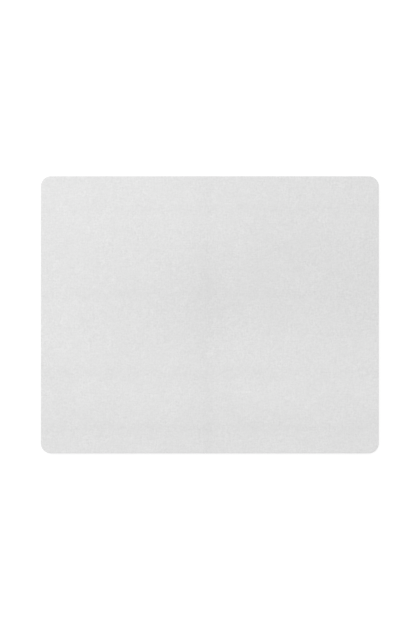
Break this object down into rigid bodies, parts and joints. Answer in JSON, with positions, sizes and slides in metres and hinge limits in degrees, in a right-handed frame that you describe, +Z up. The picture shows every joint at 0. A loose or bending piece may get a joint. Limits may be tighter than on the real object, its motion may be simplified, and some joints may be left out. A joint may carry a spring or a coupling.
{
  "type": "mouse pad",
  "caption": "Thin rectangular mouse pad with rounded corners: a white cloth face bonded to a black foamed rubber base with a zigzag non-slip tread underneath.",
  "frame": {"origin": "middle of the underside, on the surface that the pad lies on", "axes": "+X along the long side, +Y along the short side away from the user, +Z up out of the cloth face"},
  "size_m": [0.22, 0.1806, 0.003],
  "materials": {
    "rubber": "matt foamed rubber with a fine pebbled skin",
    "film": "dull translucent hot-melt film",
    "cloth": "fine matt white polyester cloth"
  },
  "bodies": {
    "root": {"rubber_base": "rubber", "bonding_film": "film", "cloth_face": "cloth"}
  },
  "joints": []
}
